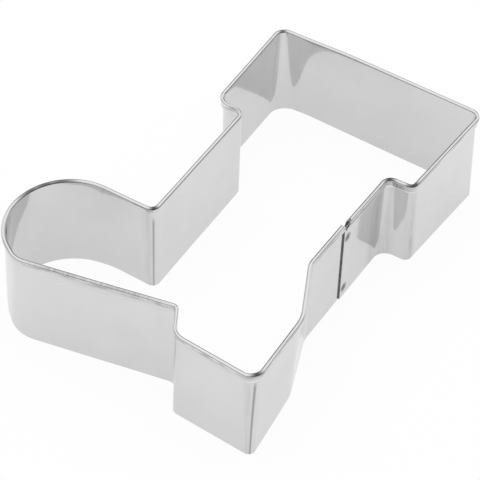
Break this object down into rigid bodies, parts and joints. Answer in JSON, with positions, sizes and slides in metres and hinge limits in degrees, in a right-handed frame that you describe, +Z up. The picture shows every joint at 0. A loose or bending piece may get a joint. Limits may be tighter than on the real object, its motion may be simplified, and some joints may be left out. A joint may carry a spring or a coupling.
{
  "type": "cookie cutter",
  "caption": "Boot-shaped cookie cutter of bent tinplate strip, with a folded hem along its top edge and a spot-welded lap seam at the back of the leg.",
  "frame": {"origin": "middle of the outer extents in X and Y, on the plane of the raw cutting edge", "axes": "+Z up from the cutting edge to the hem, +Y from the sole of the boot to the top of its cuff, the toe points to -X"},
  "size_m": [0.0606, 0.0828, 0.02],
  "materials": {
    "tinplate": "satin tinplate, almost mirror-bright, with fine rolling marks",
    "weld": "dull spot weld"
  },
  "bodies": {
    "root": {"strip": "tinplate", "weld_upper": "weld", "weld_lower": "weld"}
  },
  "joints": []
}
